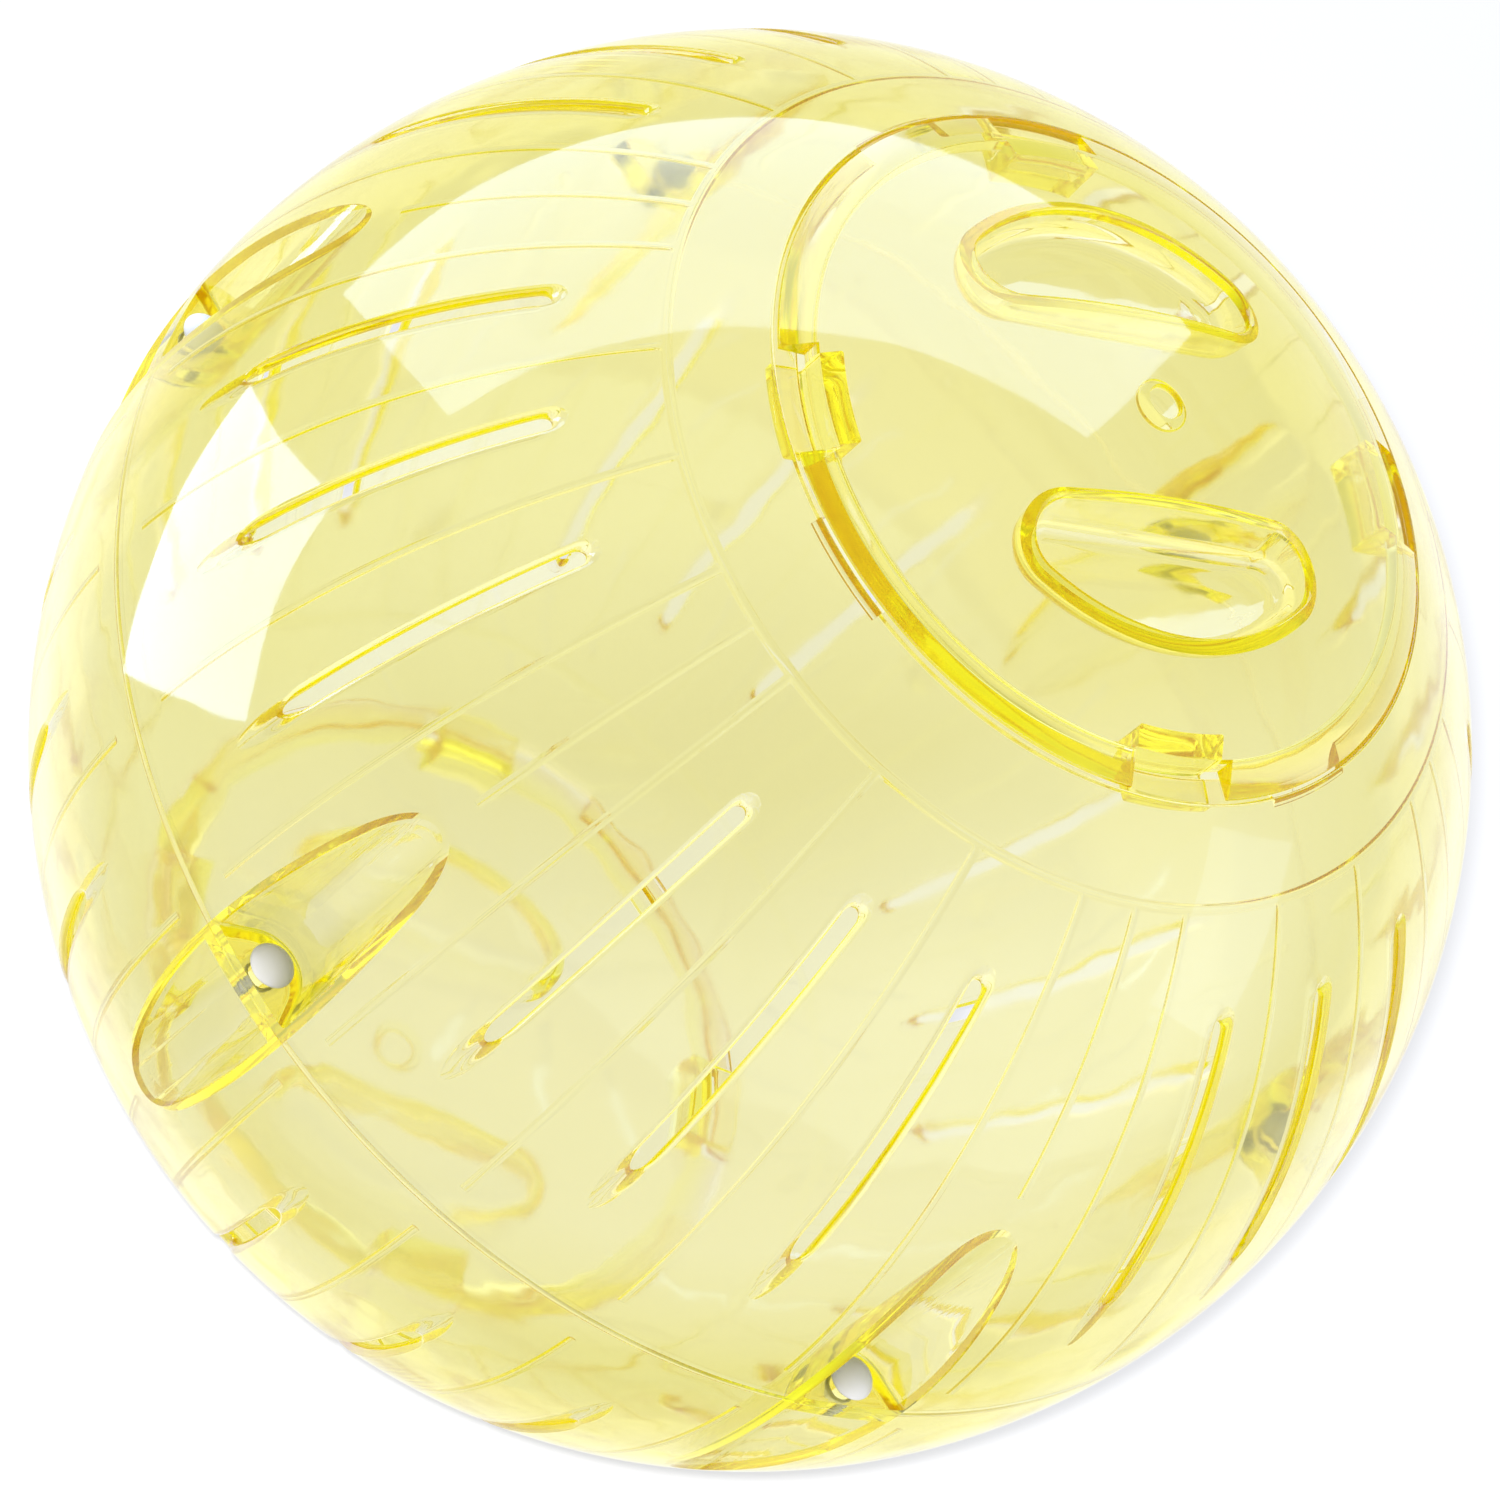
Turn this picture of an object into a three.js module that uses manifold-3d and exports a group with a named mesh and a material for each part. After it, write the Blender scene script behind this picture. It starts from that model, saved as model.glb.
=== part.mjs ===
// A running ball for a small pet: two equal moulded halves riveted together in pockets at the seam,
// each with a round door closed by a twist-lock lid.
// Millimetres and degrees, +Z up along the axis of both doors, origin at the centre of the ball.
import * as THREE from "three";
import { mergeVertices } from "three/addons/utils/BufferGeometryUtils.js";
import Module from "manifold-3d";

const wasm = await Module();
wasm.setup();

// Ball
const ballRadius = 90;
const wallThickness = 1.75;
const seamGap = 0.3; // between the two halves

// Pockets at the seam
const pocketCount = 6;
const pocketDepth = 7.3;
const pocketFloorRadius = 5.4;
const pocketHalfAngle = 32; // between a side of the groove and its middle
const webThickness = 1.6; // closes the pocket at the seam, and takes the rivet

// Rivets
const rivetHeadRadius = 3.1;
const rivetHeadHeight = 2;
const rivetShankRadius = 1.5;
const rivetTailRadius = 2.3;
const rivetTipRadius = 1.1;
const rivetTailLength = 2;
const rivetClearance = 0.3; // round the shank, and under the head and over the tail
const rivetSetback = 0.7; // from the head to the pocket's floor

// Air slots, cut along the axis
const slotsPerBay = 3; // between one pocket and the next
const slotWidth = 3;
const slotTopAngle = 46.5; // from the pole, on the outside
const slotFootAngle = 74.5;

// Door and the ledge that the lid rests on
const doorRadius = 45.9;
const ledgeWidth = 3.6;
const ledgeThickness = 1.2;
const notchClearance = 0.5; // round a lid's foot where it drops through the ledge

// Lid
const lidThickness = 1.75;
const rimWidth = 5.3; // along its edge the lid is filled up to a flat that rests on the ledge
const rimHeight = 0.8; // of the lid's edge
const rimLean = 0.8; // how far the inner side of that rim leans in
const lidGap = 0.3; // to the door, to the ledge, and from the ledge to the feet
const bossRadius = 3.4;
const bossHeight = 0.7;

// Lugs of the lid
const lugPairs = 2;
const footWidth = 12;
const footThickness = 1.5;
const footClearance = 0.7; // from a foot's end to the door's edge
const legThickness = 3;
const legClearance = 1.1; // from a leg to the ledge's edge
const windowClearance = 1; // round a lug, in the opening above its foot
const windowSetback = 0.4; // from a leg to that opening

// Finger recesses of the lid
const gripCount = 2;
const gripWidth = 26.6; // between the straight sides of the two recesses
const gripArcRadius = 28.7;
const gripCornerRadius = 5;
const gripDepth = 9; // from the top of the dome to the floor
const gripDraft = 1.2;

// How the pieces are turned
const lockTwist = 27; // from a notch to the lid's locked place
const lowerLidTurn = 10; // how far the lower lid is turned back from its locked place

// Fineness of the round faces
const roundSteps = 40;
const arcStep = 8;
const pocketArcStep = 16;
const cornerSteps = 4;
const smallSteps = 12; // rivets, their holes and the boss
const crownSteps = 3;
const overcut = 2; // how far a cutting shape runs past what it cuts

const radians = THREE.MathUtils.degToRad;
const onSphere = (sphere, distance) => Math.sqrt(sphere ** 2 - distance ** 2);
const point = (x, y) => new THREE.Vector2(x, y);

// Turns a closed geometry into a solid that can be joined and cut.
function solidOf(geometry) {
  const bare = geometry.index ? geometry.toNonIndexed() : geometry.clone();
  bare.deleteAttribute("normal");
  bare.deleteAttribute("uv");
  const merged = mergeVertices(bare);
  const corners = merged.index.array;
  const kept = [];
  for (let i = 0; i < corners.length; i += 3) {
    const [a, b, c] = corners.slice(i, i + 3);
    if (a !== b && b !== c && c !== a) kept.push(a, b, c);
  }
  return new wasm.Manifold(
    new wasm.Mesh({
      numProp: 3,
      vertProperties: merged.attributes.position.array,
      triVerts: new Uint32Array(kept),
    }),
  );
}

// A profile of (distance from the axis, height) points, counterclockwise, turned round Z.
function turned(profile, steps = roundSteps) {
  return solidOf(new THREE.LatheGeometry(profile, steps).rotateX(Math.PI / 2));
}

function prism(outline, bottom, top) {
  const shape = new THREE.Shape(outline);
  const geometry = new THREE.ExtrudeGeometry(shape, { depth: top - bottom, bevelEnabled: false });
  return solidOf(geometry.translate(0, 0, bottom));
}

// A solid between two outlines of as many points, the first one lower.
function tapered(lowOutline, bottom, highOutline, top) {
  const count = lowOutline.length;
  const places = [];
  for (const p of lowOutline) places.push(p.x, p.y, bottom);
  for (const p of highOutline) places.push(p.x, p.y, top);
  const faces = [];
  for (let i = 0; i < count; i++) {
    const next = (i + 1) % count;
    faces.push(i, next, count + next, i, count + next, count + i);
  }
  for (const [a, b, c] of THREE.ShapeUtils.triangulateShape(lowOutline, [])) {
    faces.push(a, c, b, count + a, count + b, count + c);
  }
  const geometry = new THREE.BufferGeometry();
  geometry.setAttribute("position", new THREE.Float32BufferAttribute(places, 3));
  geometry.setIndex(faces);
  return solidOf(geometry);
}

const joined = (solids) => solids.reduce((sum, solid) => sum.add(solid));
const spun = (solid, angle) => solid.rotate([0, 0, angle]);
const ring = (solid, count, first = 0) =>
  Array.from({ length: count }, (_, i) => spun(solid, first + (i * 360) / count));

// Points along an arc, both ends included, no further apart than the given step.
function arc(x, y, radius, from, to, step = arcStep) {
  const count = Math.max(1, Math.ceil(Math.abs(to - from) / step));
  return Array.from({ length: count + 1 }, (_, i) => {
    const angle = radians(from + ((to - from) * i) / count);
    return point(x + radius * Math.cos(angle), y + radius * Math.sin(angle));
  });
}

// Part of a sphere's profile between two distances from the axis, in the order given.
function dome(sphere, from, to) {
  const degrees = (distance) => THREE.MathUtils.radToDeg(Math.acos(distance / sphere));
  return arc(0, 0, sphere, degrees(from), degrees(to));
}

// Bars across the axis, one for each pair of opposite lugs.
function crossBars(width) {
  const half = width / 2;
  const bar = [
    point(-ballRadius, -half),
    point(ballRadius, -half),
    point(ballRadius, half),
    point(-ballRadius, half),
  ];
  const solid = prism(bar, 0, ballRadius + overcut);
  return joined(Array.from({ length: lugPairs }, (_, i) => spun(solid, (i * 180) / lugPairs)));
}

// The door's section, from the outside inwards: lid, ledge, foot.
const seam = seamGap / 2;
const innerRadius = ballRadius - wallThickness;
const lidInside = ballRadius - lidThickness;
const lidRadius = doorRadius - lidGap;
const rimInside = lidRadius - rimWidth;
const rimUnder = onSphere(ballRadius, lidRadius) - rimHeight;
const ledgeTop = rimUnder - lidGap;
const ledgeUnder = ledgeTop - ledgeThickness;
const ledgeEdge = doorRadius - ledgeWidth;
const footTop = ledgeUnder - lidGap;
const footUnder = footTop - footThickness;
const footReach = doorRadius - footClearance;
const legOutside = ledgeEdge - legClearance;
const legInside = legOutside - legThickness;

// Where the rivets stand, and the web they pass through.
const pocketFloor = ballRadius - pocketDepth;
const rivetPlace = pocketFloor + rivetSetback + rivetHeadRadius;
const webTop = seam + webThickness;

// The groove of a pocket, pointing along X, drawn out by the given margin all round.
function grooveOutline(margin) {
  const radius = pocketFloorRadius + margin;
  const middle = pocketFloor + pocketFloorRadius;
  const floor = arc(middle, 0, radius, 270 - pocketHalfAngle, 90 + pocketHalfAngle, pocketArcStep);
  const last = floor[floor.length - 1];
  const far = ballRadius + overcut;
  const halfWidth = last.y + (far - last.x) * Math.tan(radians(pocketHalfAngle));
  return [point(far, halfWidth), ...floor.reverse(), point(far, -halfWidth)];
}

function slotOutline() {
  const half = slotWidth / 2;
  const near = ballRadius * Math.sin(radians(slotTopAngle)) + half;
  const far = ballRadius * Math.sin(radians(slotFootAngle)) - half;
  const turn = 180 / cornerSteps;
  return [...arc(far, 0, half, -90, 90, turn), ...arc(near, 0, half, 90, 270, turn)];
}

function makeHalf() {
  const outside = dome(ballRadius, onSphere(ballRadius, seam), doorRadius);
  const section = [
    ...outside,
    point(doorRadius, ledgeTop),
    point(ledgeEdge, ledgeTop),
    point(ledgeEdge, ledgeUnder),
    ...dome(innerRadius, onSphere(innerRadius, ledgeUnder), onSphere(innerRadius, seam)),
    outside[0],
  ];
  const ball = turned([point(0, seam), ...outside, ...dome(ballRadius, doorRadius, 0).slice(1)]);

  const pocketTop = onSphere(ballRadius, pocketFloor - wallThickness) + overcut;
  const trough = prism(grooveOutline(wallThickness), seam, pocketTop);
  const groove = prism(grooveOutline(0), webTop, pocketTop);
  const rivetHole = prism(
    arc(rivetPlace, 0, rivetShankRadius + rivetClearance, 0, 360, 360 / smallSteps).slice(1),
    0,
    webTop + overcut,
  );

  const pitch = 360 / pocketCount;
  const slot = prism(slotOutline(), 0, ballRadius);
  const slots = Array.from({ length: slotsPerBay }, (_, i) =>
    ring(slot, pocketCount, (pitch * (i + 1)) / (slotsPerBay + 1)),
  );

  const notchRadius = footReach + notchClearance;
  const notchCore = turned([
    point(0, 0),
    point(notchRadius, 0),
    point(notchRadius, ballRadius),
    point(0, ballRadius),
  ]);
  const notches = notchCore.intersect(crossBars(footWidth + 2 * notchClearance));

  return turned(section)
    .add(joined(ring(trough, pocketCount)).intersect(ball))
    .subtract(joined(ring(groove, pocketCount)))
    .subtract(joined(ring(rivetHole, pocketCount)))
    .subtract(joined(slots.flat()))
    .subtract(notches);
}

// The outline of one finger recess, on the +Y side, drawn in by the given inset all round.
function gripOutline(inset) {
  const middleY = gripWidth / 2 + gripCornerRadius;
  const middleX = onSphere(gripArcRadius - gripCornerRadius, middleY);
  const rise = THREE.MathUtils.radToDeg(Math.atan2(middleY, middleX));
  const corner = gripCornerRadius - inset;
  const turn = (rise + 90) / cornerSteps;
  return [
    ...arc(middleX, middleY, corner, -90, rise, turn),
    ...arc(0, 0, gripArcRadius - inset, rise, 180 - rise).slice(1, -1),
    ...arc(-middleX, middleY, corner, 180 - rise, 270, turn),
  ];
}

function makeLid() {
  const cap = [
    ...dome(lidInside, 0, rimInside - rimLean),
    point(rimInside, rimUnder),
    point(lidRadius, rimUnder),
    ...dome(ballRadius, lidRadius, 0),
  ];
  const dished = turned([point(0, 0), point(lidRadius, 0), ...dome(ballRadius, lidRadius, 0)]);

  const rooted = lidThickness / 2; // how far the lugs and the boss run into the cap
  const lugSection = [
    point(legInside, footUnder),
    point(footReach, footUnder),
    point(footReach, footTop),
    point(legOutside, footTop),
    point(legOutside, onSphere(lidInside, legOutside) + rooted),
    point(legInside, onSphere(lidInside, legInside) + rooted),
    point(legInside, footUnder),
  ];
  const lugs = turned(lugSection).intersect(crossBars(footWidth));

  const windowInside = legOutside + windowSetback;
  const windowRing = turned([
    point(windowInside, 0),
    point(lidRadius + overcut, 0),
    point(lidRadius + overcut, ballRadius),
    point(windowInside, ballRadius),
    point(windowInside, 0),
  ]);
  const windows = windowRing.intersect(crossBars(footWidth + 2 * windowClearance));

  const floor = ballRadius - gripDepth;
  const above = ballRadius + overcut;
  const spread = (gripDraft * (above - floor)) / gripDepth;
  const hollow = tapered(gripOutline(gripDraft), floor, gripOutline(gripDraft - spread), above);
  const pan = tapered(
    gripOutline(gripDraft - lidThickness),
    floor - lidThickness,
    gripOutline(gripDraft - lidThickness - spread),
    above,
  );
  const boss = prism(
    arc(0, 0, bossRadius, 0, 360, 360 / smallSteps).slice(1),
    lidInside - bossHeight,
    lidInside + rooted,
  );

  return turned(cap)
    .subtract(windows)
    .add(joined(ring(pan, gripCount)).intersect(dished))
    .subtract(joined(ring(hollow, gripCount)))
    .add(boss)
    .add(lugs);
}

function makeRivet() {
  const headUnder = webTop + rivetClearance;
  const tailTop = -headUnder;
  const tip = tailTop - rivetTailLength;
  const crown = (rivetHeadRadius ** 2 + rivetHeadHeight ** 2) / (2 * rivetHeadHeight);
  const spread = THREE.MathUtils.radToDeg(Math.asin(rivetHeadRadius / crown));
  const middle = headUnder + rivetHeadHeight - crown;
  return turned(
    [
      point(0, tip),
      point(rivetTipRadius, tip),
      point(rivetTailRadius, tailTop),
      point(rivetShankRadius, tailTop),
      point(rivetShankRadius, headUnder),
      ...arc(0, middle, crown, 90 - spread, 90, spread / crownSteps),
    ],
    smallSteps,
  );
}

const clearYellow = { color: 0xf2e27a, roughness: 0.08, metalness: 0, transparent: true, opacity: 0.4 };
const white = { color: 0xf1f0ea, roughness: 0.4, metalness: 0 };

function meshOf(name, solid, look) {
  const { vertProperties, triVerts } = solid.getMesh();
  const geometry = new THREE.BufferGeometry();
  geometry.setAttribute("position", new THREE.BufferAttribute(vertProperties, 3));
  geometry.setIndex(new THREE.BufferAttribute(triVerts, 1));
  geometry.computeVertexNormals();
  const mesh = new THREE.Mesh(geometry, new THREE.MeshStandardMaterial(look));
  mesh.name = name;
  return mesh;
}

// A piece of the lower side is turned over about X, after a turn that puts its own X at the given angle.
function turnOver(mesh, angle) {
  mesh.rotation.set(Math.PI, 0, -radians(angle));
  return mesh;
}

// The upper lid's lugs lie on X and Y, so the half under it is turned on by the lock.
// The lower half is the upper one turned over about the line through its second pocket.
const part = new THREE.Group();
const half = makeHalf();
const lid = makeLid();
const lowerHalfAngle = lockTwist + 2 * (360 / pocketCount);

const upperHalf = meshOf("upper_half", half, clearYellow);
upperHalf.rotation.z = radians(lockTwist);
part.add(upperHalf);
part.add(turnOver(meshOf("lower_half", half, clearYellow), lowerHalfAngle));
part.add(meshOf("upper_lid", lid, clearYellow));
part.add(
  turnOver(meshOf("lower_lid", lid, clearYellow), lowerHalfAngle + lockTwist - lowerLidTurn),
);

for (let i = 0; i < pocketCount; i++) {
  const rivet = meshOf(`rivet_${i + 1}`, makeRivet(), white);
  const angle = radians(lockTwist + (i * 360) / pocketCount);
  rivet.position.set(rivetPlace * Math.cos(angle), rivetPlace * Math.sin(angle), 0);
  part.add(rivet);
}

export default part;
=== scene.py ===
import math

import bmesh
import bpy
import numpy as np
from mathutils import Matrix, Vector


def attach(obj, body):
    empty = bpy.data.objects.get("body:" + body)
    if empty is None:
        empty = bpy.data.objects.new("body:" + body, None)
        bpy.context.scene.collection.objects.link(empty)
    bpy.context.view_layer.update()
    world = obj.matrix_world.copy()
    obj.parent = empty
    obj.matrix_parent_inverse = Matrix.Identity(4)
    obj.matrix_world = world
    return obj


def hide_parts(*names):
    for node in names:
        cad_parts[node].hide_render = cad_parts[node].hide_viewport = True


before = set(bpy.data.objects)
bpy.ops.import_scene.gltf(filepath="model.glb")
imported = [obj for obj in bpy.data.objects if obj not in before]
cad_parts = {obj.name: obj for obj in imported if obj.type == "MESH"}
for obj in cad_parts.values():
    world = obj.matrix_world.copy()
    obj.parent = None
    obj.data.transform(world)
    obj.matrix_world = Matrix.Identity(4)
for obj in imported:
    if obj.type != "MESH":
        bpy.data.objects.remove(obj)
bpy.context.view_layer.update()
scene = bpy.context.scene
mm = 0.001

# Shapes are drawn in millimetres and degrees, about the axis of the doors, and scaled as they become meshes
roundSteps = 288  # facets round the ball
smallSteps = 48  # facets round a small piece
pastCut = 2  # how far a cutter runs past what it cuts


def arc(x, y, radius, start, end, step=4):
    count = max(1, math.ceil(abs(end - start) / step))
    angles = np.radians(np.linspace(start, end, count + 1))
    return [(x + radius * math.cos(a), y + radius * math.sin(a)) for a in angles]


def onSphere(sphere, distance):  # height on a sphere at a distance from the axis
    return np.sqrt(sphere**2 - np.square(distance))


def polar(sphere, angle):  # distance from the axis and height, at an angle from the pole
    return sphere * math.sin(math.radians(angle)), sphere * math.cos(math.radians(angle))


def dome(sphere, near, far, step=1):  # a sphere's profile between two distances from the axis
    start, end = (math.degrees(math.acos(d / sphere)) for d in (near, far))
    return arc(0, 0, sphere, start, end, step)


def lens(width, height):  # a shallow round swelling, as (place across it, height)
    radius = (width**2 / 4 + height**2) / (2 * height)
    lean = math.degrees(math.asin(width / 2 / radius))
    return arc(0, height - radius, radius, 90 + lean, 90 - lean, lean / 3)


def rounded(corners, steps=4):  # corners are (x, y, radius), and a radius of 0 keeps the corner
    made = []
    for i, (x, y, radius) in enumerate(corners):
        if radius == 0:
            made.append((x, y))
            continue
        here = Vector((x, y))
        back = (Vector(corners[i - 1][:2]) - here).normalized()
        on = (Vector(corners[(i + 1) % len(corners)][:2]) - here).normalized()
        halfAngle = back.angle(on) / 2
        middle = here + (back + on).normalized() * radius / math.sin(halfAngle)
        first, last = (here + way * radius / math.tan(halfAngle) - middle for way in (back, on))
        start = math.atan2(first.y, first.x)
        sweep = -first.angle_signed(last)
        for k in range(steps + 1):
            turn = start + sweep * k / steps
            made.append((middle.x + radius * math.cos(turn), middle.y + radius * math.sin(turn)))
    return made


def plain(points):  # corners that stay as they are
    return [(x, y, 0) for x, y in points]


def lathe(profile, steps=roundSteps):  # a closed outline of (distance from the axis, height) turned round Z
    turn = np.radians(np.arange(steps) * 360 / steps)
    places, rings = [], []
    for distance, height in profile:
        count = 1 if distance < 1e-6 else steps
        rings.append([len(places) + i % count for i in range(steps)])
        places += [(distance * math.cos(t), distance * math.sin(t), height) for t in turn[:count]]
    faces = []
    for i, low in enumerate(rings):
        high = rings[(i + 1) % len(rings)]
        for k in range(steps):
            n = (k + 1) % steps
            face = list(dict.fromkeys((low[k], low[n], high[n], high[k])))
            if len(face) > 2:
                faces.append(face)
    return np.array(places), faces


def loft(rings):  # a solid through rings of as many points each
    count = len(rings[0])
    faces = [list(range(count)), [count * (len(rings) - 1) + i for i in range(count)]]
    for r in range(len(rings) - 1):
        for i in range(count):
            n = (i + 1) % count
            faces.append([r * count + i, r * count + n, (r + 1) * count + n, (r + 1) * count + i])
    return np.concatenate([np.asarray(r, float) for r in rings]), faces


def prism(outline, bottom, top):
    return loft([[(x, y, z) for x, y in outline] for z in (bottom, top)])


def spun(shape, angle):
    turn = np.array(Matrix.Rotation(math.radians(angle), 3, "Z"))
    return shape[0] @ turn.T, shape[1]


def together(shapes):  # several solids that don't touch, as one
    places, faces, start = [], [], 0
    for points, sides in shapes:
        places.append(points)
        faces += [[i + start for i in side] for side in sides]
        start += len(points)
    return np.concatenate(places), faces


def ring(shape, count, first=0):
    return together([spun(shape, first + 360 * i / count) for i in range(count)])


def placed(name, data):
    made = bpy.data.objects.new(name, data)
    scene.collection.objects.link(made)
    return made


def discard(obj):
    mesh = obj.data
    bpy.data.objects.remove(obj)
    bpy.data.meshes.remove(mesh)


def solid(name, shape):
    mesh = bpy.data.meshes.new(name)
    mesh.from_pydata((shape[0] * mm).tolist(), [], shape[1])
    work = bmesh.new()
    work.from_mesh(mesh)
    bmesh.ops.recalc_face_normals(work, faces=work.faces)
    work.to_mesh(mesh)
    work.free()
    return placed(name, mesh)


def combine(base, operation, shape):
    other = shape if isinstance(shape, bpy.types.Object) else solid("cutter", shape)
    step = base.modifiers.new("step", "BOOLEAN")
    step.solver, step.operation, step.object = "MANIFOLD", operation, other
    seen = base.evaluated_get(bpy.context.evaluated_depsgraph_get())
    old, base.data = base.data, bpy.data.meshes.new_from_object(seen)
    base.modifiers.clear()
    bpy.data.meshes.remove(old)
    discard(other)


sharpAngle = 32  # edges that turn by more stay crisp
sphereSlack = 0.02  # how far a facet may lie from the sphere that it stands for
facesOut = 0.95  # how nearly a facet of the sphere looks along its radius


def smoothed(obj, spheres):  # corner normals: true to the spheres, and by angle elsewhere
    mesh = obj.data
    mesh.shade_smooth()
    mesh.set_sharp_from_angle(angle=math.radians(sharpAngle))
    normals = np.empty(len(mesh.loops) * 3, np.float32)
    mesh.corner_normals.foreach_get("vector", normals)
    normals = normals.reshape(-1, 3).astype(float)
    places = np.array([v.co for v in mesh.vertices]) / mm
    away = np.linalg.norm(places, axis=1)
    outward = places / away[:, None]
    for face in mesh.polygons:
        corners = list(face.vertices)
        for sphere in spheres:
            if np.abs(away[corners] - sphere).max() < sphereSlack:
                side = np.array(face.normal) @ outward[corners].mean(0)
                if abs(side) > facesOut:
                    normals[list(face.loop_indices)] = outward[corners] * np.sign(side)
    mesh.normals_split_custom_set(normals.tolist())
    return obj


# Ball
ball = {
    "radius": 90,
    "wall": 1.75,
    "edge": 0.3,  # moulded edges are rounded by this
    "seam": 0.02,  # half of the gap between the halves, which are clamped shut
    "seamRound": 0.04,
}
outer = ball["radius"]
inner = outer - ball["wall"]

# Door, which the halves and the lids share
door = {
    "radius": 45.9,
    "ledge": 3.6,  # reaches in from the wall, and carries the lid
    "ledgeThick": 1.2,
    "gap": 0.3,
    "lid": 1.75,
    "lugs": 4,
    "rimWidth": 5.4,  # along its edge the lid is filled up to a flat over the ledge
    "rimHeight": 0.8,
    "rimLean": -0.9,  # how far the inner side of that rim leans
    "draft": 0.08,  # the flats under the lid and the ledge rise outwards by this slope
}
lidRadius = door["radius"] - door["gap"]
rimUnder = float(onSphere(outer, lidRadius)) - door["rimHeight"]
ledgeTop = rimUnder - door["gap"]
ledgeUnder = ledgeTop - door["ledgeThick"]
ledgeEdge = door["radius"] - door["ledge"]
ledgeRoot = float(onSphere(inner, ledgeUnder + door["ledge"] * door["draft"]))

# Half
half = {
    "pockets": 6,
    "pocketDepth": 7.3,
    "pocketRound": 5.4,  # radius of a pocket's floor
    "pocketSide": 32,  # how far its sides open
    "web": 1.7,  # closes a pocket at the seam, and takes the rivet
    "webRound": 0.5,
    "rivetHole": 1.8,
    "rivetPlace": 86.5,
    "slots": 3,  # between two pockets
    "slotWidth": 3,
    "slotTop": 46.5,  # from the pole
    "slotFoot": 74.5,
    "slotRound": 0.85,  # edges rolled over through the whole wall
    "slotNip": 0.5,  # the slot is narrower by this on each side, halfway through
    "slotFlare": 0.25,  # slope of its cutter past the wall
    "notchWidth": 13,  # lets a lug through the ledge
    "notchReach": 45.92,
    "notchRound": 0.5,
}
bead = {"angle": 38.75, "width": 1.5, "height": 0.22}  # low ring round the door, on the inside
rib = {"width": 1.2, "height": 0.16, "foot": 86.5, "shortFoot": 63.5}  # short ones end above the pockets
pocketPitch = 360 / half["pockets"]
slotPitch = pocketPitch / (half["slots"] + 1)


def halfSection():  # the wall from the seam up to the door, with the ledge and the bead
    seam, seamRound, edge = ball["seam"], ball["seamRound"], ball["edge"]
    swelling = []
    for across, rise in lens(bead["width"], bead["height"]):
        swelling.append(polar(inner - rise, bead["angle"] + math.degrees(across / inner)))
    outside = dome(outer, onSphere(outer, seam), door["radius"])
    inside = dome(inner, ledgeRoot, swelling[0][0]) + swelling[1:-1]
    inside += dome(inner, swelling[-1][0], onSphere(inner, seam))
    return rounded(
        [(*outside[0], seamRound)]
        + plain(outside[1:-2])
        + [(*outside[-1], edge), (door["radius"], ledgeTop, edge)]
        + [(ledgeEdge, ledgeTop, edge), (ledgeEdge, ledgeUnder, edge), (*inside[0], edge)]
        + plain(inside[1:-1])
        + [(*inside[-1], seamRound)]
    )


def ribBar(start, end):
    section = [(y, inner - rise) for y, rise in lens(rib["width"], rib["height"])]
    rooted = inner + ball["wall"] / 3
    section += [(rib["width"] / 2, rooted), (-rib["width"] / 2, rooted)]
    rings = []
    for angle in np.linspace(start, end, math.ceil(abs(end - start)) + 1):
        rings.append([(polar(r, angle)[0], y, polar(r, angle)[1]) for y, r in section])
    return loft(rings)


def addRibs(made):
    longBar, shortBar = (ribBar(bead["angle"], rib[foot]) for foot in ("foot", "shortFoot"))
    bars = [spun(longBar, slotPitch * (k + 0.5)) for k in range(round(360 / slotPitch))]
    bars += [spun(shortBar, pocketPitch * k) for k in range(half["pockets"])]
    combine(made, "UNION", together(bars))


def grooveOutline(margin):
    middle = outer - half["pocketDepth"] + half["pocketRound"]
    side = half["pocketSide"]
    bottom = arc(middle, 0, half["pocketRound"] + margin, 270 - side, 90 + side)
    far = outer + pastCut
    x, y = bottom[-1]
    spread = y + (far - x) * math.tan(math.radians(side))
    return [(far, -spread), *bottom, (far, spread)]


def addPockets(made):  # each is a trough in the wall, closed at the seam by a web with a hole
    seam, wall = ball["seam"], ball["wall"]
    top = onSphere(outer, outer - half["pocketDepth"] - wall) + pastCut
    middle = outer - wall / 2  # the troughs end inside the wall
    core = [(0, seam), (middle, seam)] + dome(middle, onSphere(middle, seam), 0)[1:]
    trough = solid("trough", ring(prism(grooveOutline(wall), seam, top), half["pockets"]))
    combine(trough, "INTERSECT", lathe(core))
    combine(made, "UNION", trough)

    webTop, webRound = seam + half["web"], half["webRound"]
    turns = np.radians([0, 30, 60, 90])
    levels = [(webRound * (math.sin(t) - 1), webTop + webRound * (1 - math.cos(t))) for t in turns]
    levels.append((0, top))
    groove = loft([[(x, y, z) for x, y in grooveOutline(margin)] for margin, z in levels])
    combine(made, "DIFFERENCE", ring(groove, half["pockets"]))
    circle = arc(half["rivetPlace"], 0, half["rivetHole"], 0, 360, 10)[1:]
    hole = prism(circle, -pastCut, webTop + pastCut)
    combine(made, "DIFFERENCE", ring(hole, half["pockets"]))


def slotOutline(margin):
    radius = half["slotWidth"] / 2
    near = polar(outer, half["slotTop"])[0] + radius
    far = polar(outer, half["slotFoot"])[0] - radius
    along = [(near + (far - near) * k / 12) for k in range(1, 12)]
    reach = radius + margin
    return (
        arc(far, 0, reach, -90, 90, 15)
        + [(x, reach) for x in reversed(along)]
        + arc(near, 0, reach, 90, 270, 15)
        + [(x, -reach) for x in along]
    )


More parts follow.
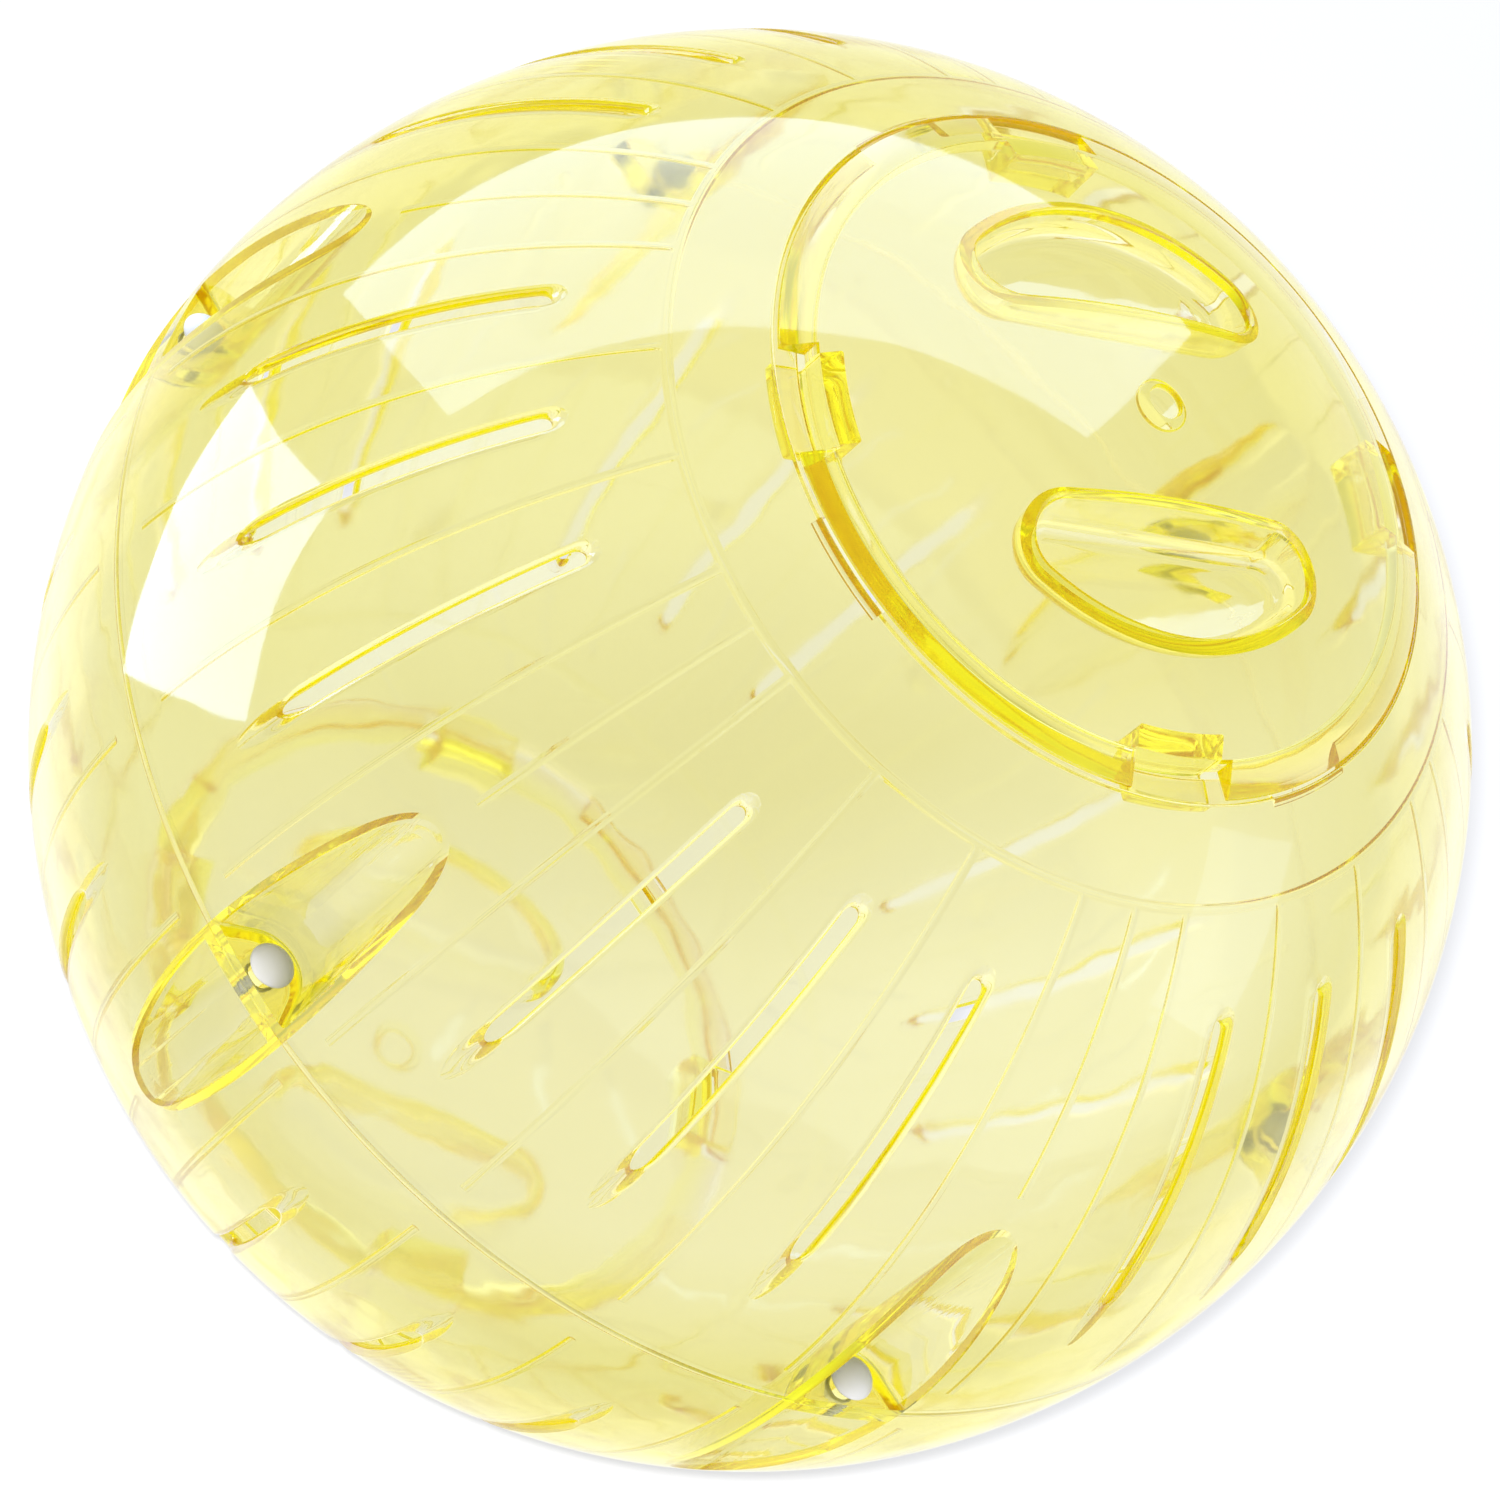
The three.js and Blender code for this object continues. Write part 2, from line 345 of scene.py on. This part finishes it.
def slotCutter():  # along Z, with edges that roll over into both faces of the wall
    radius, nip = half["slotRound"], half["slotNip"]
    turns = np.radians([10, 25, 40, 60, 90])
    roll = [(radius * (1 - math.sin(t)) - nip, radius * (1 - math.cos(t))) for t in turns]
    mouth = roll[0][0] + pastCut * half["slotFlare"]
    levels = [(inner, -pastCut, mouth)]
    levels += [(inner, depth, margin) for margin, depth in roll]
    levels += [(outer, -depth, margin) for margin, depth in reversed(roll)]
    levels += [(outer, pastCut, mouth)]
    rings = []
    for sphere, depth, margin in levels:
        flat = np.array(slotOutline(margin))
        height = onSphere(sphere, np.linalg.norm(flat, axis=1))
        rings.append(np.column_stack([flat, height + depth * sphere / height]))
    return loft(rings)


def notchCutter():  # down through the ledge, with a rounded foot at the wall
    wide, reach, radius = half["notchWidth"] / 2, half["notchReach"], half["notchRound"]
    foot = float(onSphere(inner, reach))
    levels = [(reach, outer)]
    for t in np.radians([0, 20, 40, 60, 75]):
        levels.append((reach + radius * (1 - math.cos(t)), foot + radius * (1 - math.sin(t))))
    levels.append((levels[-1][0], outer / 2))
    back = ledgeEdge - 2 * pastCut
    rings = []
    for away, height in levels:
        lean = math.degrees(math.asin(wide / away))
        outline = [(back, -wide), *arc(0, 0, away, -lean, lean, lean / 6), (back, wide)]
        rings.append([(x, y, height) for x, y in outline])
    return loft(rings)


def makeHalf():
    made = solid("half", lathe(halfSection()))
    addRibs(made)
    print("half: shell and ribs", len(made.data.polygons))
    addPockets(made)
    print("half: pockets", len(made.data.polygons))
    slot = slotCutter()
    slots = [ring(slot, half["pockets"], slotPitch * (k + 1)) for k in range(half["slots"])]
    combine(made, "DIFFERENCE", together(slots))
    combine(made, "DIFFERENCE", ring(notchCutter(), door["lugs"]))
    print("half: slots and notches", len(made.data.polygons))
    return smoothed(made, (outer, inner))


# Lid
lid = {
    "edge": 0.3,
    "grips": 2,  # half-moon recesses that fingers turn the lid by
    "gripWidth": 26.6,  # between their straight sides
    "gripArc": 28.7,
    "gripCorner": 5,
    "gripDepth": 9,
    "gripDraft": 1.2,
    "gripMouth": 0.75,  # share of the draft at which the rim starts to roll over
    "gripFlare": 0.3,  # slope of the cutter past the dome
    "gripFloorRound": 1.4,
    "gripRimRound": 0.9,
    "gripUnderRound": 0.6,
    "dimpleRadius": 2.2,
    "dimpleDepth": 0.7,
    "bossRadius": 3.4,  # under the dimple
    "bossHeight": 0.7,
    "footWidth": 12,  # a lug is a leg with a foot that hooks under the ledge
    "footThick": 1.5,
    "footReach": 45.2,
    "legOutside": 41.2,
    "legThick": 3,
    "lugRound": 0.35,
    "lugCrisp": 30,  # edges that turn by more are rounded
    "windowInside": 41.6,  # the rim is left out over each foot
    "windowWidth": 14,
}
lidInside = outer - door["lid"]


def gripOutline(inset):
    corner = lid["gripCorner"]
    y = lid["gripWidth"] / 2 + corner
    x = float(onSphere(lid["gripArc"] - corner, y))
    rise = math.degrees(math.atan2(y, x))
    straight = [(-x + 2 * x * k / 10, lid["gripWidth"] / 2 + inset) for k in range(1, 10)]
    return (
        arc(x, y, corner - inset, -90, rise, 6)
        + arc(0, 0, lid["gripArc"] - inset, rise, 180 - rise)[1:-1]
        + arc(-x, y, corner - inset, 180 - rise, 270, 6)
        + straight
    )


def grip(shift, floorRound, rimRound):  # a recess from its floor to the dome, drawn out by shift
    draft = lid["gripDraft"]
    inset = draft - shift
    bottom = outer - lid["gripDepth"] - shift
    rings = []
    for t in np.radians([0, 25, 50, 75, 90]):
        rise = floorRound * (1 - math.cos(t))
        outline = gripOutline(inset + floorRound * (1 - math.sin(t)) - draft / lid["gripDepth"] * rise)
        rings.append([(x, y, bottom + rise) for x, y in outline])
    mouth = inset - draft * lid["gripMouth"]
    top = onSphere(outer, np.linalg.norm(gripOutline(mouth), axis=1))
    turns = np.radians([90, 65, 40, 15])
    levels = [(rimRound * (1 - math.sin(t)), -rimRound * (1 - math.cos(t))) for t in turns]
    levels.append((rimRound + pastCut * lid["gripFlare"], pastCut))
    for spread, rise in levels:
        rings.append(np.column_stack([gripOutline(mouth - spread), top + rise]))
    return loft(rings)


def addGrips(made):
    wall = door["lid"]
    far = lidRadius - pastCut
    core = [(0, outer / 2), (far, outer / 2)] + dome(outer - wall / 2, far, 0)
    pans = solid("pans", ring(grip(wall, lid["gripFloorRound"] + wall, lid["gripUnderRound"]), lid["grips"]))
    combine(pans, "INTERSECT", lathe(core))
    combine(made, "UNION", pans)
    recess = grip(0, lid["gripFloorRound"], lid["gripRimRound"])
    combine(made, "DIFFERENCE", ring(recess, lid["grips"]))


def addBoss(made):
    edge, radius, wide = lid["edge"], lid["bossRadius"], lid["dimpleRadius"]
    base, rooted = lidInside - lid["bossHeight"], lidInside + door["lid"] / 2
    boss = [(0, base, 0), (radius, base, edge), (radius, rooted, 0), (0, rooted, 0)]
    combine(made, "UNION", lathe(rounded(boss), smallSteps))
    low, above = outer - lid["dimpleDepth"], outer + edge
    dimple = [(0, low, 0), (wide, low, edge), (wide, outer - edge, 0), (wide + edge, above, 0), (0, above, 0)]
    combine(made, "DIFFERENCE", lathe(rounded(dimple), smallSteps))


def lugShape():
    outside, reach = lid["legOutside"], lid["footReach"]
    inside = outside - lid["legThick"]
    footTop = ledgeUnder - door["gap"]
    under = footTop - lid["footThick"]
    legTop = [(r, float(onSphere(lidInside, r)) + door["lid"] / 2) for r in (outside, inside)]
    section = [(inside, under), (reach, under), (reach, footTop), (outside, footTop), *legTop]
    wide = lid["footWidth"] / 2
    rings = [[(math.sqrt(r * r - y * y), y, z) for r, z in section] for y in np.linspace(-wide, wide, 9)]
    made = solid("lug", loft(rings))
    work = bmesh.new()
    work.from_mesh(made.data)
    crisp = [e for e in work.edges if e.calc_face_angle(0) > math.radians(lid["lugCrisp"])]
    bmesh.ops.bevel(work, geom=crisp, offset=lid["lugRound"] * mm, segments=3, profile=0.5, affect="EDGES")
    places = np.array([v.co for v in work.verts]) / mm
    work.verts.index_update()
    faces = [[v.index for v in f.verts] for f in work.faces]
    work.free()
    discard(made)
    return places, faces


def makeLid():
    edge = lid["edge"]
    rimInside = lidRadius - door["rimWidth"]
    rise = door["rimWidth"] * door["draft"]
    under = dome(lidInside, 0, rimInside - door["rimLean"])
    over = dome(outer, lidRadius, 0)
    cap = rounded(
        plain(under[:-1])
        + [(*under[-1], edge), (rimInside, rimUnder - rise / 2, edge)]
        + [(lidRadius, rimUnder + rise / 2, edge), (*over[0], edge)]
        + plain(over[1:])
    )
    made = solid("lid", lathe(cap))
    wide, near = lid["windowWidth"] / 2, lid["windowInside"]
    lean = math.degrees(math.asin(wide / near))
    far = lidRadius + pastCut
    window = [(far, -wide), (far, wide), *arc(0, 0, near, lean, -lean)]
    combine(made, "DIFFERENCE", ring(prism(window, outer / 2, outer), door["lugs"]))
    addGrips(made)
    addBoss(made)
    combine(made, "UNION", ring(lugShape(), door["lugs"]))
    print("lid", len(made.data.polygons))
    return smoothed(made, (outer, lidInside))


# Rivet
rivet = {
    "head": 3.1,
    "crown": 2,  # height of the head
    "shank": 1.5,
    "tail": 2.3,
    "tip": 1.1,
    "tailLength": 2,
    "clearance": 0.3,
    "edge": 0.25,
}


def makeRivet():
    edge = rivet["edge"]
    under = ball["seam"] + half["web"] + rivet["clearance"]
    crown = (rivet["head"] ** 2 + rivet["crown"] ** 2) / (2 * rivet["crown"])
    lean = math.degrees(math.asin(rivet["head"] / crown))
    top = arc(0, under + rivet["crown"] - crown, crown, 90 - lean, 90, lean / 10)
    tip = -under - rivet["tailLength"]
    outline = rounded(
        [(0, tip, 0), (rivet["tip"], tip, edge), (rivet["tail"], -under, edge), (rivet["shank"], -under, 0)]
        + [(rivet["shank"], under, 0), (*top[0], edge)]
        + plain(top[2:-1])
        + [(0, top[-1][1], 0)]
    )
    made = solid("rivet", lathe(outline, smallSteps))
    print("rivet", len(made.data.polygons))
    return smoothed(made, ())


# Materials
def linear(code):  # an sRGB hex colour as linear light
    parts = [int(code[i : i + 2], 16) / 255 for i in (1, 3, 5)]
    return [c / 12.92 if c <= 0.04045 else ((c + 0.055) / 1.055) ** 2.4 for c in parts] + [1]


def perMm(size):  # texture scale for marks of a size in millimetres
    return 1 / (size * mm)


def material(name):
    made = bpy.data.materials.new(name)
    made.use_nodes = True
    made.node_tree.nodes.clear()
    return made


def node(tree, kind, inputs=(), out=0, **settings):  # inputs are values or sockets, by name or in order
    made = tree.nodes.new("ShaderNode" + kind)
    for name, value in settings.items():
        setattr(made, name, value)
    for key, value in inputs.items() if isinstance(inputs, dict) else enumerate(inputs):
        if isinstance(value, bpy.types.NodeSocket):
            tree.links.new(value, made.inputs[key])
        else:
            made.inputs[key].default_value = value
    return made.outputs[out] if made.outputs else None


polystyrene = {
    "face": "#fffcfc",  # the little that each face takes from what passes
    "absorbs": (0.705, 3.055, 235),  # red, green and blue light lost in a metre
    "ior": 1.59,
    "rough": (0.03, 0.06),
    "flow": 22,  # mm, long waves left by the flow into the mould
    "ripple": 8,  # mm, shorter waves that the inside shows most
    "rippleInside": 0.35,
    "rippleOutside": 0.05,
    "rippleFades": (0.55, 1.25),  # mm into the wall from the inside
    "waves": 0.2,  # mm high
}
nylon = {"colour": "#f4f2e8", "ior": 1.53, "rough": (0.32, 0.48), "grain": 0.4, "grainDeep": 0.01}
noiseSpan = (0.3, 0.7)  # what most of a noise lies between


def clearYellow():
    # Injection-moulded polystyrene: near clear through one wall, amber where light runs along the wall
    made = material("transparent_yellow_polystyrene")
    tree = made.node_tree
    place = node(tree, "TexCoord", out="Object")
    waves = {"Vector": place, "Detail": 1, "Roughness": 0.4}
    flow = node(tree, "TexNoise", {**waves, "Scale": perMm(polystyrene["flow"])})
    ripple = node(tree, "TexNoise", {**waves, "Scale": perMm(polystyrene["ripple"])})
    away = node(tree, "VectorMath", [place], "Value", operation="LENGTH")
    fades = [(inner + depth) * mm for depth in polystyrene["rippleFades"]]
    levels = (polystyrene["rippleInside"], polystyrene["rippleOutside"])
    rippled = node(tree, "MapRange", [away, *fades, *levels])
    uneven = node(tree, "Math", [ripple, rippled, flow], operation="MULTIPLY_ADD")
    wavy = node(tree, "Bump", {"Height": uneven, "Strength": 1, "Distance": polystyrene["waves"] * mm})
    polish = node(tree, "MapRange", [ripple, *noiseSpan, *polystyrene["rough"]])
    look = {"Base Color": linear(polystyrene["face"]), "IOR": polystyrene["ior"], "Transmission Weight": 1}
    wall = node(tree, "BsdfPrincipled", {**look, "Roughness": polish, "Normal": wavy})
    density = max(polystyrene["absorbs"])
    passed = [1 - lost / density for lost in polystyrene["absorbs"]] + [1]
    tint = node(tree, "VolumeAbsorption", {"Color": passed, "Density": density})
    node(tree, "OutputMaterial", {"Surface": wall, "Volume": tint})
    return made


def whiteNylon():
    # Moulded nylon: soft white with a satin shine and a fine grain
    made = material("white_moulded_nylon")
    tree = made.node_tree
    place = node(tree, "TexCoord", out="Object")
    fine = {"Vector": place, "Scale": perMm(nylon["grain"]), "Detail": 3, "Roughness": 0.6}
    grain = node(tree, "TexNoise", fine)
    satin = node(tree, "MapRange", [grain, *noiseSpan, *nylon["rough"]])
    grained = node(tree, "Bump", {"Height": grain, "Strength": 0.3, "Distance": nylon["grainDeep"] * mm})
    look = {"Base Color": linear(nylon["colour"]), "IOR": nylon["ior"]}
    skin = node(tree, "BsdfPrincipled", {**look, "Roughness": satin, "Normal": grained})
    node(tree, "OutputMaterial", {"Surface": skin})
    return made


# Pieces
lockTwist = 27  # from the notches to where a lid is locked
lowerLidTurn = 10  # the far lid is turned back by this
lowerAngle = lockTwist + 2 * pocketPitch


def aboutZ(angle):
    return Matrix.Rotation(math.radians(angle), 4, "Z")


def turnedOver(angle):
    return Matrix.Rotation(math.pi, 4, "X") @ aboutZ(-angle)


def piece(name, shape, place, look, cadNode, body):
    made = placed(name, shape.data.copy())
    made.data.transform(place)
    made.data.materials.clear()
    made.data.materials.append(look)
    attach(made, body)
    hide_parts(cadNode)


yellow, white = clearYellow(), whiteNylon()
halfShape, lidShape, rivetShape = makeHalf(), makeLid(), makeRivet()
for cadNode, shape, place, body in (
    ("upper_half", halfShape, aboutZ(lockTwist), "ball"),
    ("lower_half", halfShape, turnedOver(lowerAngle), "ball"),
    ("upper_lid", lidShape, Matrix(), "upper_door"),
    ("lower_lid", lidShape, turnedOver(lowerAngle + lockTwist - lowerLidTurn), "lower_door"),
):
    piece(f"{cadNode}_moulding", shape, place, yellow, cadNode, body)
for i in range(half["pockets"]):
    place = aboutZ(lockTwist + i * pocketPitch) @ Matrix.Translation((half["rivetPlace"] * mm, 0, 0))
    piece(f"rivet_{i + 1}_push", rivetShape, place, white, f"rivet_{i + 1}", "ball")
for shape in (halfShape, lidShape, rivetShape):
    discard(shape)
print("pieces made")

# Camera
view = {
    "distance": 9.845,  # in radii of the ball
    "lens": 169.7,
    "sensor": 36,
    "tilt": 44.59,  # of the axis of the doors, away from the line of sight
    "roll": 39.95,  # of that tilt in the picture
    "turn": 52,  # about the axis of the doors
}
tilt, roll, turn = (math.radians(view[k]) for k in ("tilt", "roll", "turn"))
pole = Vector((math.sin(tilt) * math.cos(roll), math.sin(tilt) * math.sin(roll), math.cos(tilt)))
side = pole.cross(Vector((0, 0, 1))).normalized()
across = pole.cross(side)
modelX = side * math.cos(turn) + across * math.sin(turn)
modelY = across * math.cos(turn) - side * math.sin(turn)
axes = Matrix((modelX, modelY, pole))  # its columns are the camera's axes
camera = placed("camera", bpy.data.cameras.new("camera"))
camera.data.sensor_width, camera.data.lens = view["sensor"], view["lens"]
camera.matrix_world = Matrix.Translation(axes @ Vector((0, 0, view["distance"] * outer * mm))) @ axes.to_4x4()
camera.data.clip_start, camera.data.clip_end = 0.01, 50
scene.camera = camera
print("camera set")

# Light, placed in metres along the camera's axes
coolLamp = "#aac4ff"  # so that a reflection adds up to white over the yellow


def softbox(name, place, facing, up, size, radiance):
    lamp = bpy.data.lights.new(name, "AREA")
    lamp.color = linear(coolLamp)[:3]
    lamp.diffuse_factor = 0
    lamp.cycles.max_bounces = 2  # what it adds deep in the walls is too little to see
    lamp.shape, lamp.size, lamp.size_y = "RECTANGLE", *size
    lamp.energy = radiance * size[0] * size[1] * math.pi
    made = placed(name, lamp)
    back = -(axes @ Vector(facing)).normalized()
    sideways = (axes @ Vector(up)).cross(back).normalized()
    turned = Matrix((sideways, back.cross(sideways), back)).transposed()
    made.matrix_world = Matrix.Translation(axes @ Vector(place)) @ turned.to_4x4()
    made.visible_camera = made.visible_transmission = False


softbox("overhead", (0.085, 1, 0), (0, -1, 0), (0, 0, -1), (1.97, 0.88), 4)
softbox("left", (-0.938, 0.334, -0.094), (0.938, -0.334, 0.094), (0.163, 0.479, 0.07), (0.58, 0.51), 7)
softbox("right", (0.927, -0.354, 0.128), (-0.927, 0.354, -0.128), (0.35, 0.93, 0), (0.3, 0.4), 1.2)

# Floor: white paper that glows a little, so that the key lamp's shadow on it stays pale
paper = {
    "reach": 20,
    "reflects": 0.1,
    "glow": (0.7, 0.78),  # as the camera sees it, and through the plastic
    "keyAdds": 0.28,  # what the key lamp adds to it
    "keySize": 0.018,
    "keyPlace": (-0.004, 0.011, 0.886),
}
floorMesh = bpy.data.meshes.new("floor")
reach = paper["reach"]
corners = [(-reach, -reach), (reach, -reach), (reach, reach), (-reach, reach)]
floorMesh.from_pydata([(x, y, -outer * mm) for x, y in corners], [], [(0, 1, 2, 3)])
floor = placed("floor", floorMesh)
floor.visible_glossy = False
whitePaper = material("white_paper")
paperTree = whitePaper.node_tree
sheet = node(paperTree, "BsdfDiffuse", {"Color": (*[paper["reflects"]] * 3, 1)})
seenThrough = node(paperTree, "LightPath", out="Is Transmission Ray")
level = node(paperTree, "MapRange", [seenThrough, 0, 1, *paper["glow"]])
glow = node(paperTree, "Emission", {"Color": (1, 1, 1, 1), "Strength": level})
lit = node(paperTree, "AddShader", [sheet, glow])
fromBelow = node(paperTree, "NewGeometry", out="Backfacing")
clear = node(paperTree, "BsdfTransparent")
node(paperTree, "OutputMaterial", {"Surface": node(paperTree, "MixShader", [fromBelow, lit, clear])})
whitePaper.cycles.emission_sampling = "NONE"
floorMesh.materials.append(whitePaper)

key = bpy.data.lights.new("floor_key", "AREA")
key.shape, key.size = "DISK", paper["keySize"]
key.energy = paper["keyAdds"] / paper["reflects"] * 4 * math.pi
keyLamp = placed("floor_key", key)
keyLamp.matrix_world = Matrix.Translation(axes @ Vector(paper["keyPlace"])) @ axes.to_4x4()
keyLamp.visible_camera = keyLamp.visible_glossy = keyLamp.visible_transmission = False
keyLights = bpy.data.collections.new("lit_by_floor_key")
keyLights.objects.link(floor)
keyLamp.light_linking.receiver_collection = keyLights

# World: white, but reflections see a dimmer room with a lit table in front and a backdrop at both sides
room = {
    "mirrored": 0.3,
    "through": 0.6,  # the same room, seen through the walls
    "table": 2.4,
    "backdrop": 0.8,
    "cool": "#a6b5ff",  # tint of the table and the backdrop
    "tableBow": 0.35,  # its edge rises to both sides
    "tableEdge": (-0.75, -0.15),  # from here on, cosines to the camera's axes where each light fades
    "tableNear": (-0.4, 0.1),
    "backdropSide": (0.25, 0.5),
    "backdropTop": (0.1, 0.5),
    "backdropNear": (-0.5, 0.1),
    "ceiling": (0.4, 0.6),  # above this, what passes the walls sees white
    "behind": (-0.9, -0.5),  # straight behind the ball all is white
}
world = bpy.data.worlds.new("world")
scene.world = world
world.cycles.sampling_method = "NONE"
world.use_nodes = True
tree = world.node_tree
tree.nodes.clear()
mirrored = node(tree, "LightPath", out="Is Glossy Ray")
through = node(tree, "LightPath", out="Is Transmission Ray")
way = node(tree, "TexCoord", out="Generated")
right, up, near = (
    node(tree, "VectorMath", [way, axes.col[i]], "Value", operation="DOT_PRODUCT") for i in range(3)
)
sideways = node(tree, "Math", [right], operation="ABSOLUTE")

low = node(tree, "Math", [sideways, -room["tableBow"], up], operation="MULTIPLY_ADD")
tableLevel = node(tree, "MapRange", [low, *room["tableEdge"], room["table"], 0])
tableNear = node(tree, "MapRange", [near, *room["tableNear"], 0, 1])
table = node(tree, "Math", [tableLevel, tableNear], operation="MULTIPLY")
beside = node(tree, "MapRange", [sideways, *room["backdropSide"], 0, room["backdrop"]])
below = node(tree, "MapRange", [up, *room["backdropTop"], 1, 0])
besideBelow = node(tree, "Math", [beside, below], operation="MULTIPLY")
backdropFar = node(tree, "MapRange", [near, *room["backdropNear"], 1, 0])
coolLight = node(tree, "Math", [besideBelow, backdropFar, table], operation="MULTIPLY_ADD")
notDirect = node(tree, "Math", [mirrored, through], operation="MAXIMUM")
coolLevel = node(tree, "Math", [coolLight, notDirect], operation="MULTIPLY")
coolRoom = node(tree, "Background", {"Color": linear(room["cool"]), "Strength": coolLevel})

# A ray that passes a wall counts as mirrored too, so it gains on that level
inMirror = node(tree, "Math", [mirrored, room["mirrored"] - 1], operation="MULTIPLY")
gains = (room["through"] - room["mirrored"], 1 - room["mirrored"])
gain = node(tree, "MapRange", [up, *room["ceiling"], *gains])
darker = node(tree, "Math", [through, gain, inMirror], operation="MULTIPLY_ADD")
aside = node(tree, "MapRange", [near, *room["behind"], 0, 1])
plainLevel = node(tree, "Math", [aside, darker, 1], operation="MULTIPLY_ADD")
plainRoom = node(tree, "Background", {"Color": (1, 1, 1, 1), "Strength": plainLevel})
node(tree, "OutputWorld", {"Surface": node(tree, "AddShader", [plainRoom, coolRoom])})

deepest = 128  # light may turn this often on its way along the walls
scene.cycles.max_bounces = scene.cycles.transmission_bounces = scene.cycles.glossy_bounces = deepest
scene.view_settings.view_transform = "Standard"
print("stage set")
